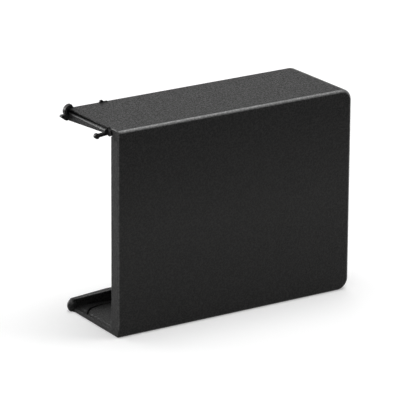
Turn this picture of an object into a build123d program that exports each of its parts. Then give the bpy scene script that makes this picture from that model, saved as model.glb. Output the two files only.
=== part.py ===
from build123d import *
import os

# Profile end cap, moulded in one piece: a shallow box that is open at its left end and at the rear.
# It slides onto the end of a rectangular profile and closes it.
# X runs along the cap towards its closed end, +Y from the front wall to the rear, +Z up.
# The origin is the middle of the base, under the walls. All sizes are millimetres.

# Box
cap_width = 67.7
cap_height = 53.0
cap_depth = 22.4
front_wall = 3.4
skin_wall = 1.6
front_corner = 3.0  # radius of the two end corners at the front wall
rear_corner = 4.4  # the same corners at the rear rim
front_edge = 1.0  # rounding where the front wall meets the skin
end_edge = 0.35  # rounding around the open end
cove_radius = 0.85  # shallow cove along the floor's edge at the open end
cove_inset = 0.3
cove_rise = 0.4

# Lip that hooks behind the profile, flared and lowered at the open end
lip_thickness = 2.0
lip_height = 4.4
lip_top_round = 0.6
lip_inner_round = 0.35
lip_foot_round = 0.6
flare_length = 9.5
flare_shift = 1.1  # how far the inner face moves back at the open end
flare_drop = 0.9  # how much lower the lip is there
flare_thickness = 2.3
flare_top_round = 1.6
flare_foot_round = 0.8
nose_foot = 0.5  # radius of the rounded nose where it stands on the base
nose_bulge = 1.45  # height of its widest part
nose_drop = 0.2  # its top below the lip's

# Relief line in the floor
relief_width = 0.6
relief_depth = 0.9
relief_gap = 1.4  # from the lip's inner face to the line along it
relief_inset = 0.5  # from the open end to the start of the line
relief_lead = 2.3  # slanted corner of the line there
relief_taper = 3.7  # where the line draws nearer to the lip
relief_taper_shift = 0.85
relief_bend = 1.5

# Ledge and tongue along the open edge of the top wall, with a narrow gap between them
ledge_gap = 0.6  # behind the front wall
ledge_front_reach = 0.3
ledge_rear_reach = 0.9
ledge_thickness = 0.3
tongue_gap = 1.5  # behind the front wall
tongue_root = 0.3  # inside the open edge
tongue_front_reach = 0.8
tongue_rear_reach = 1.3
tongue_front_drop = 0.55  # its upper side below the top face
tongue_rear_drop = 0.85
tongue_front_height = 1.05
tongue_rear_height = 2.05
tongue_front_shoulder = 0.6
tongue_rear_shoulder = 0.3

# Hook at the rear end of the tongue: a curl that rises over the top wall's corner, and a tapered arm
hook_thickness = 1.1
curl_radius = 1.37  # of its centre line
curl_width = 0.56
curl_reach = 0.72
curl_drop = 0.55
curl_start = 82  # degrees from +X to its free end
curl_sweep = 151
curl_web = 0.4  # thin web that fills the curl
arm_root_radius = 0.72
arm_root_reach = 1.75
arm_root_drop = 2.08
arm_tip_radius = 0.36
arm_tip_reach = 2.9
arm_tip_drop = 1.68

# Prong beside the front end of the tongue
prong_thickness = 0.8
prong_gap = 1.3  # behind the front wall
prong_radius = 0.37
prong_drop = 1.7
prong_ball_radius = 0.68
prong_ball_reach = 3.0
prong_ball_drop = 2.02

# Nib on the rear rim of the top wall
nib_radius = 0.6
nib_place = 8.4  # from the open end
nib_tail = 1.7
nib_tail_height = 0.15
nib_thickness = 0.4

# Boss in the corner of the front wall and the top wall, with a crescent gap in front of it
boss_radius = 0.9
boss_reach = 0.25
boss_drop = 1.36
boss_gap = 0.63  # behind the front wall
boss_length = 1.6
crescent_width = 0.4
crescent_depth = 0.8

left = -cap_width / 2
right = cap_width / 2
front = -cap_depth / 2
rear = cap_depth / 2
wall_rear = front + front_wall
lip_inner = rear - lip_thickness
lip_end = right - rear_corner
flare_inner = lip_inner + flare_shift
flare_height = lip_height - flare_drop
nose_y = flare_inner + flare_thickness / 2
nose_widest = flare_inner + flare_thickness
nose_top = flare_height - nose_drop
line_start = left + relief_inset
line_y = lip_inner - relief_gap
taper_start = line_start + relief_lead
taper_y = line_y - relief_taper_shift
ledge_front = wall_rear + ledge_gap
tongue_front = wall_rear + tongue_gap
tongue_inner = left + tongue_root
boss_y = wall_rear + boss_gap
boss_z = cap_height - boss_drop


def corner_at(y):
    return front_corner + (rear_corner - front_corner) * (y - front) / cap_depth


with BuildPart() as end_cap:
    # Closed box. Its end corners open out towards the rear rim.
    for y in (front, rear):
        with BuildSketch(Plane.XZ.offset(-y)) as outline:
            Rectangle(cap_width, cap_height, align=(Align.CENTER, Align.MIN))
            fillet(outline.vertices().sort_by(Axis.X)[-2:], corner_at(y))
    loft()
    front_rim = end_cap.faces().sort_by(Axis.Y)[0].edges().sort_by(Axis.X)[1:]
    fillet(front_rim, front_edge)
    end_rim = end_cap.faces().sort_by(Axis.X)[0].edges().sort_by(Axis.Y)[:-1]
    fillet(end_rim, end_edge)

    # Hollow, open to the left and to the rear
    for y in (wall_rear, rear):
        with BuildSketch(Plane.XZ.offset(-y)) as hollow:
            with Locations((left, skin_wall)):
                Rectangle(
                    cap_width - skin_wall,
                    cap_height - 2 * skin_wall,
                    align=(Align.MIN, Align.MIN),
                )
            fillet(hollow.vertices().sort_by(Axis.X)[-2:], corner_at(y) - skin_wall)
    loft(mode=Mode.SUBTRACT)

    # Cove along the floor's edge at the open end
    with BuildSketch(Plane.XZ.offset(-wall_rear)):
        with Locations((left + cove_inset, skin_wall + cove_rise)):
            Circle(cove_radius)
    extrude(amount=wall_rear - rear, mode=Mode.SUBTRACT)

    # Lip. Each section is its inner face, top and thickness, and the roundings of top and foot.
    straight = (lip_inner, lip_height, lip_thickness, lip_top_round, lip_foot_round)
    flared = (flare_inner, flare_height, flare_thickness, flare_top_round, flare_foot_round)
    for x, section in ((left, flared), (left + flare_length, straight), (lip_end, straight)):
        inner, top, thickness, top_round, foot_round = section
        with BuildSketch(Plane.YZ.offset(x)) as profile:
            with Locations((inner, 0)):
                Rectangle(thickness, top, align=(Align.MIN, Align.MIN))
            fillet(profile.vertices().group_by(Axis.Y)[-1].sort_by(Axis.X)[0], lip_inner_round)
            fillet(profile.vertices().group_by(Axis.Y)[-1].sort_by(Axis.X)[-1], top_round)
            fillet(profile.vertices().group_by(Axis.Y)[0].sort_by(Axis.X)[-1], foot_round)
    loft(ruled=True)

    # Rounded nose on the lip's flared end
    with BuildSketch(Plane.YZ.offset(left)):
        with BuildLine():
            ThreePointArc((nose_y + nose_foot, 0), (nose_widest, nose_bulge), (nose_y, nose_top))
            Polyline((nose_y, nose_top), (nose_y, 0), (nose_y + nose_foot, 0))
        make_face()
    revolve(axis=Axis((left, nose_y, 0), (0, 0, 1)), revolution_arc=180)

    # Relief line along the lip, with a slanted lead at the open end
    with BuildSketch(Plane.XY.offset(skin_wall)):
        with BuildLine():
            FilletPolyline(
                (line_start, taper_y - relief_lead),
                (taper_start, taper_y),
                (taper_start + relief_taper, line_y),
                (lip_end, line_y),
                radius=relief_bend,
            )
        trace(line_width=relief_width)
    extrude(amount=-relief_depth, mode=Mode.SUBTRACT)

    # Ledge along the open edge of the top wall, standing out further at the rear
    with BuildSketch(Plane.XY.offset(cap_height)):
        with BuildLine():
            Polyline(
                (left + end_edge, ledge_front),
                (left - ledge_front_reach, ledge_front),
                (left - ledge_rear_reach, rear),
                (left + end_edge, rear),
                close=True,
            )
        make_face()
    extrude(amount=-ledge_thickness)

    # Tongue under the ledge, larger towards the rear, with a rounded shoulder. Each section is its y,
    # reach, drop below the top face, height and shoulder.
    for y, reach, drop, height, shoulder in (
        (
            tongue_front,
            tongue_front_reach,
            tongue_front_drop,
            tongue_front_height,
            tongue_front_shoulder,
        ),
        (rear, tongue_rear_reach, tongue_rear_drop, tongue_rear_height, tongue_rear_shoulder),
    ):
        with BuildSketch(Plane.XZ.offset(-y)) as profile:
            with Locations((tongue_inner, cap_height - drop)):
                Rectangle(reach + tongue_root, height, align=(Align.MAX, Align.MAX))
            fillet(profile.vertices().sort_by(Axis.X)[:2].sort_by(Axis.Y)[-1], shoulder)
    loft(ruled=True)

    # Hook at the tongue's rear end. The arm is the outline around its root and its tip.
    curl_center = (left - curl_reach, cap_height - curl_drop)
    with BuildSketch(Plane.XZ.offset(-rear)):
        with BuildLine():
            curl = CenterArc(curl_center, curl_radius, curl_start, curl_sweep)
        trace(line_width=curl_width)
        with Locations(curl @ 0):
            Circle(curl_width / 2)
    extrude(amount=hook_thickness)
    with BuildSketch(Plane.XZ.offset(-rear)):
        with Locations(curl_center):
            Circle(curl_radius)
    extrude(amount=curl_web)
    with BuildSketch(Plane.XZ.offset(-rear)):
        with Locations((left - arm_root_reach, cap_height - arm_root_drop)):
            Circle(arm_root_radius)
        with Locations((left - arm_tip_reach, cap_height - arm_tip_drop)):
            Circle(arm_tip_radius)
        make_hull()
    extrude(amount=hook_thickness)

    # Nib on the rear rim of the top wall, with a low tail
    with BuildSketch(Plane.XZ.offset(-rear)):
        with Locations((left + nib_place, cap_height)):
            Circle(nib_radius)
            Rectangle(nib_tail, nib_tail_height, align=(Align.MIN, Align.MIN))
    extrude(amount=nib_thickness)

    # Boss in the corner of the front wall and the top wall. The gap beside it is cut first.
    with BuildSketch(Plane.YZ.offset(left)):
        with Locations((boss_y - crescent_width, boss_z)):
            Circle(boss_radius)
    extrude(amount=crescent_depth, mode=Mode.SUBTRACT)
    with BuildSketch(Plane.YZ.offset(left - boss_reach)):
        with Locations((boss_y, boss_z)):
            Circle(boss_radius)
    extrude(amount=boss_reach + boss_length)

    # Prong: a thin arm that leaves the boss and ends in a ball
    with BuildSketch(Plane.XZ.offset(-wall_rear - prong_gap)):
        with BuildLine():
            Line(
                (tongue_inner, cap_height - prong_drop),
                (left - prong_ball_reach, cap_height - prong_ball_drop),
            )
        trace(line_width=2 * prong_radius)
        with Locations((left - prong_ball_reach, cap_height - prong_ball_drop)):
            Circle(prong_ball_radius)
    extrude(amount=-prong_thickness)

end_cap.part.label = "end_cap"
os.makedirs("parts", exist_ok=True)
export_step(end_cap.part, "parts/end_cap.step")
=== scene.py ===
import math

import bpy
from mathutils import Matrix, Vector


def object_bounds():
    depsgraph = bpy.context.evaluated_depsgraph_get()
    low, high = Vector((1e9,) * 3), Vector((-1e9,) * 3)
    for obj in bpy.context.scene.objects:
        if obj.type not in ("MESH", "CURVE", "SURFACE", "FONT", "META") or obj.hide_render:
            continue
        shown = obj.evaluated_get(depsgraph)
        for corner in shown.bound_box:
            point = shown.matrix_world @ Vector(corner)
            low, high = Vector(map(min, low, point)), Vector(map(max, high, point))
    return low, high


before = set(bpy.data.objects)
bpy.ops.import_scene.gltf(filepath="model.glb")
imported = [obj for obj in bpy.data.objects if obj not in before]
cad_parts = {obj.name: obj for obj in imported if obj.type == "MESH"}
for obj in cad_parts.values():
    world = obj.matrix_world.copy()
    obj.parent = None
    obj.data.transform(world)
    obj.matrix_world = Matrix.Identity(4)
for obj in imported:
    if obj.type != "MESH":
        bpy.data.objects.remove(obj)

cadLow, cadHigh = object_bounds()
boxMiddle = (cadLow + cadHigh) / 2
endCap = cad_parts["end_cap"]
print("end cap loaded, box in mm:", [round(1000 * s, 2) for s in cadHigh - cadLow])


# Shader expressions: a Wire is one output socket, and arithmetic on it adds the nodes
class Wire:
    def __init__(self, graph, socket):
        self.graph = graph
        self.socket = socket

    def value(self, operation, first, second):
        return self.graph.node("ShaderNodeMath", {"operation": operation}, {0: first, 1: second})

    def __add__(self, other):
        return self.value("ADD", self, other)

    def __radd__(self, other):
        return self.value("ADD", other, self)

    def __sub__(self, other):
        return self.value("SUBTRACT", self, other)

    def __rsub__(self, other):
        return self.value("SUBTRACT", other, self)

    def __mul__(self, other):
        return self.value("MULTIPLY", self, other)

    def __rmul__(self, other):
        return self.value("MULTIPLY", other, self)


class Graph:
    def __init__(self, owner):
        owner.use_nodes = True
        self.tree = owner.node_tree
        self.tree.nodes.clear()

    # kind of node, its settings, what its sockets hold, and the output wanted
    def node(self, kind, settings, sockets, output=0):
        made = self.tree.nodes.new(kind)
        for name, setting in settings.items():
            setattr(made, name, setting)
        for name, held in sockets.items():
            if isinstance(held, Wire):
                self.tree.links.new(held.socket, made.inputs[name])
            else:
                made.inputs[name].default_value = held
        return Wire(self, made.outputs[output]) if made.outputs else None

    # the X, Y or Z of a vector, as axis 0, 1 or 2
    def part(self, vector, axis):
        return self.node("ShaderNodeSeparateXYZ", {}, {0: vector}, output=axis)

    # the largest of a vector's three parts, without their signs
    def largestPart(self, vector):
        plain = self.node("ShaderNodeVectorMath", {"operation": "ABSOLUTE"}, {0: vector})
        x, y, z = [self.part(plain, axis) for axis in range(3)]
        return x.value("MAXIMUM", x.value("MAXIMUM", x, y), z)

    # a signal that runs from toLow to toHigh between two levels, and stays there beyond them
    def spread(self, signal, low, high, toLow=0.0, toHigh=1.0):
        return self.node(
            "ShaderNodeMapRange",
            {"clamp": True},
            {"Value": signal, "From Min": low, "From Max": high, "To Min": toLow, "To Max": toHigh},
        )

    def noise(self, place, size, detail, roughness):
        return self.node(
            "ShaderNodeTexNoise",
            {},
            {"Vector": place, "Scale": 1 / size, "Detail": detail, "Roughness": roughness},
        )

    def blend(self, share, low, high):
        return self.node(
            "ShaderNodeMix", {"data_type": "RGBA"}, {"Factor": share, 6: low, 7: high}, output=2
        )


# The moulded plastic: near black, matte, with the fine grain of an eroded mould. Sizes are metres.
mouldedPlastic = {
    "darkTone": (0.0001, 0.0001, 0.0001, 1.0),
    "lightTone": (0.0420, 0.0415, 0.0405, 1.0),
    "speckTone": 0.52,  # shares of the light tone that the grain, the clouds and the painted light across the front bring
    "cloudTone": 0.05,
    "paintedLightTone": 0.38,
    "index": 1.245,  # the grain dulls the plastic's own 1.5
    "roughness": 0.59,
    "cloudGloss": 0.10,  # how much the clouds change the roughness
    "speckGloss": 0.37,  # and the grain
    "grainSize": 0.00042,
    "grainDetail": 2.0,
    "grainBreak": 0.55,
    "grainLevels": (0.48, 0.60),  # of the noise, from a pit to a speck
    "pebbleSize": 0.00080,
    "pebbleSoftness": 0.6,
    "pebbleShare": 0.35,  # of the relief, beside the specks
    "reliefHeight": 0.00016,
    "cloudSize": 0.012,
    "cloudDetail": 3.0,
    "cloudBreak": 0.5,
    "cloudLevels": (0.35, 0.65),
    "paintedLightFade": (0.050, 0.027),  # heights at which the painted light starts and is whole, leaving painted shade above it
    "paintedLightFoot": 0.022,  # height below which the painted light thins out again, a painted shade at the base
    "paintedLightAtBase": 0.5,
    "paintedLightTurn": (-0.60, -0.95),  # how squarely a face looks to the front, for no painted light and the whole
    "edgeRadius": 0.00022,
    "edgeSamples": 6,
    "polish": 1.0,  # gloss of the rounded edges, where handling has rubbed the grain away
    "polishIndex": 1.9,
    "polishRoughness": 0.42,
    "polishGrain": 0.34,  # how much of the grain is left in it
    "polishTurn": (0.90, 0.985),  # largest part of the normal, on a rubbed edge and on a flat face
    "polishFloor": (0.0018, 0.0026),  # heights, so that the lines in the floor keep their grain
    "polishStart": (-0.0340, -0.0325),  # along the cap, at its open end
    "smallPolish": 0.35,  # how much of the polish is left on what stands out beyond the open end
}


def plasticFinish(look):
    material = bpy.data.materials.new("mouldedPlastic")
    graph = Graph(material)
    place = graph.node("ShaderNodeTexCoord", {}, {}, output="Object")
    facing = graph.node("ShaderNodeTexCoord", {}, {}, output="Normal")
    along, height = graph.part(place, 0), graph.part(place, 2)

    # Grain: fine specks over a softer pebble, and the slow clouds of the mould's wear
    grain = graph.noise(place, look["grainSize"], look["grainDetail"], look["grainBreak"])
    speck = graph.spread(grain, *look["grainLevels"])
    pebble = graph.node(
        "ShaderNodeTexVoronoi",
        {"feature": "SMOOTH_F1"},
        {"Vector": place, "Scale": 1 / look["pebbleSize"], "Smoothness": look["pebbleSoftness"]},
    )
    cloud = graph.noise(place, look["cloudSize"], look["cloudDetail"], look["cloudBreak"])
    softEdges = graph.node(
        "ShaderNodeBevel", {"samples": look["edgeSamples"]}, {"Radius": look["edgeRadius"]}
    )
    normal = graph.node(
        "ShaderNodeBump",
        {},
        {
            "Strength": 1.0,
            "Distance": look["reliefHeight"],
            "Height": speck + look["pebbleShare"] * pebble,
            "Normal": softEdges,
        },
    )

    # Painted light: the base colour is lighter across the middle of the front, so painted shade
    # darkens it near its top edge and its base
    paintedFrontLight = graph.spread(height, *look["paintedLightFade"])
    paintedFrontLight = paintedFrontLight * graph.spread(height, 0.0, look["paintedLightFoot"], look["paintedLightAtBase"], 1.0)
    paintedFrontLight = paintedFrontLight * graph.spread(graph.part(facing, 1), *look["paintedLightTurn"])
    clouding = graph.spread(cloud, *look["cloudLevels"])
    # the tone holds the grain, the clouds and the painted light on the front
    tone = look["speckTone"] * speck + look["cloudTone"] * clouding + look["paintedLightTone"] * paintedFrontLight

    # A rounded edge faces no axis squarely, so its normal's largest part is well under one
    rubbed = graph.spread(graph.largestPart(facing), *look["polishTurn"], 1.0, 0.0)
    rubbed = rubbed * graph.spread(along, *look["polishStart"], look["smallPolish"], 1.0)
    rubbed = rubbed * graph.spread(height, *look["polishFloor"])
    rubbed = rubbed * (1.0 - look["polishGrain"] * (1.0 - speck))

    rough = look["roughness"] + look["cloudGloss"] * (cloud - 0.5)
    rough = rough + look["speckGloss"] * (speck - 0.5)
    shader = graph.node(
        "ShaderNodeBsdfPrincipled",
        {},
        {
            "Base Color": graph.blend(tone, look["darkTone"], look["lightTone"]),
            "Roughness": rough,
            "IOR": look["index"],
            "Coat Weight": look["polish"] * rubbed,
            "Coat Roughness": look["polishRoughness"],
            "Coat IOR": look["polishIndex"],
            "Normal": normal,
        },
    )
    graph.node("ShaderNodeOutputMaterial", {}, {"Surface": shader})
    return material


endCap.data.materials.clear()
endCap.data.materials.append(plasticFinish(mouldedPlastic))
print("plastic finish on", endCap.name)


# Plain pale floor. It stays pale beyond the lamps' reach.
floorValues = {
    "halfSize": 3.0,
    "tone": (0.74, 0.74, 0.74, 1.0),
    "glow": 0.335,
    "farGlow": 1.0,
    "farStart": 0.15,
    "farEnd": 1.6,
}


# 1 where the camera, a reflection or a ray through glass sees the surface, and 0 for its light
def seenPlainly(graph):
    camera = graph.node("ShaderNodeLightPath", {}, {}, output="Is Camera Ray")
    glossy = graph.node("ShaderNodeLightPath", {}, {}, output="Is Glossy Ray")
    through = graph.node("ShaderNodeLightPath", {}, {}, output="Is Transmission Ray")
    return camera + glossy + through


def makeFloor(look):
    size = look["halfSize"]
    mesh = bpy.data.meshes.new("floor")
    corners = [(-size, -size, 0), (size, -size, 0), (size, size, 0), (-size, size, 0)]
    mesh.from_pydata(corners, [], [(0, 1, 2, 3)])
    floor = bpy.data.objects.new("floor", mesh)
    bpy.context.scene.collection.objects.link(floor)
    floor.location.z = cadLow.z
    material = bpy.data.materials.new("paleFloor")
    graph = Graph(material)
    place = graph.node("ShaderNodeTexCoord", {}, {}, output="Object")
    reach = graph.node("ShaderNodeVectorMath", {"operation": "LENGTH"}, {0: place}, output="Value")
    glow = graph.spread(reach, look["farStart"], look["farEnd"], look["glow"], look["farGlow"])
    glow = glow * seenPlainly(graph)
    shader = graph.node(
        "ShaderNodeBsdfPrincipled",
        {},
        {
            "Base Color": look["tone"],
            "Roughness": 1.0,
            "Specular IOR Level": 0.0,
            "Emission Color": graph.node("ShaderNodeCombineColor", {}, {0: glow, 1: glow, 2: glow}),
            "Emission Strength": 1.0,
        },
    )
    graph.node("ShaderNodeOutputMaterial", {}, {"Surface": shader})
    mesh.materials.append(material)


makeFloor(floorValues)
print("floor made")


# Soft studio light in a pale room: a lamp overhead, a key on the right that draws the front edge, a
# weak one behind that gives the top its sheen, a fill, and a low one for the open end. Places are
# measured from the box's middle, and each lamp looks at it.
lampValues = {
    "overhead": {"place": (0.07, 0.04, 0.80), "size": (0.50, 0.56), "power": 5.1},
    "key": {"place": (0.50, -0.26, 0.78), "size": (0.36, 0.36), "power": 1.8},
    "sheen": {"place": (0.46, 0.72, 0.58), "size": (0.36, 0.36), "power": 0.36},
    "fill": {"place": (-0.40, -0.50, 0.70), "size": (0.50, 0.40), "power": 0.7},
    "rear": {"place": (-0.44, 0.80, 0.12), "size": (0.70, 0.22), "power": 6.7},
}
roomValues = {"tone": (1.0, 1.0, 1.0, 1.0), "ambient": 0.08}


def makeLamp(name, values):
    lamp = bpy.data.lights.new(name, "AREA")
    lamp.shape = "RECTANGLE"
    lamp.size, lamp.size_y = values["size"]
    lamp.energy = values["power"]
    holder = bpy.data.objects.new(name, lamp)
    bpy.context.scene.collection.objects.link(holder)
    place = Vector(values["place"])
    holder.location = boxMiddle + place
    holder.rotation_mode = "QUATERNION"
    holder.rotation_quaternion = (-place).to_track_quat("-Z", "Y")


def makeRoom(look):
    world = bpy.data.worlds.new("room")
    bpy.context.scene.world = world
    graph = Graph(world)
    strength = look["ambient"] + (1 - look["ambient"]) * seenPlainly(graph)
    shader = graph.node("ShaderNodeBackground", {}, {"Color": look["tone"], "Strength": strength})
    graph.node("ShaderNodeOutputWorld", {}, {"Surface": shader})


for lampName, lampSetting in lampValues.items():
    makeLamp(lampName, lampSetting)
makeRoom(roomValues)
print("lamps and room made")


# Long lens from the open end's side, a little above. The aim is measured from the box's middle.
cameraValues = {
    "azimuth": -32.27,  # degrees
    "elevation": 19.04,
    "tilt": 0.352,
    "distance": 0.9132,
    "lens": 331.45,  # millimetres
    "sensor": 36.0,
    "clip": (0.01, 20.0),
    "aim": (-0.00077, 0.00091, -0.00065),
}


def makeCamera(values):
    camera = bpy.data.cameras.new("camera")
    camera.lens = values["lens"]
    camera.sensor_width = values["sensor"]
    camera.clip_start, camera.clip_end = values["clip"]
    holder = bpy.data.objects.new("camera", camera)
    bpy.context.scene.collection.objects.link(holder)
    turn, rise = math.radians(values["azimuth"]), math.radians(values["elevation"])
    back = Vector(
        (math.sin(turn) * math.cos(rise), -math.cos(turn) * math.cos(rise), math.sin(rise))
    )
    aim = boxMiddle + Vector(values["aim"])
    rotation = (-back).to_track_quat("-Z", "Y").to_matrix()
    rotation = rotation @ Matrix.Rotation(math.radians(values["tilt"]), 3, "Z")
    holder.matrix_world = Matrix.Translation(aim + back * values["distance"]) @ rotation.to_4x4()
    bpy.context.scene.camera = holder


makeCamera(cameraValues)
bpy.context.scene.view_settings.view_transform = "Standard"
print("camera made")
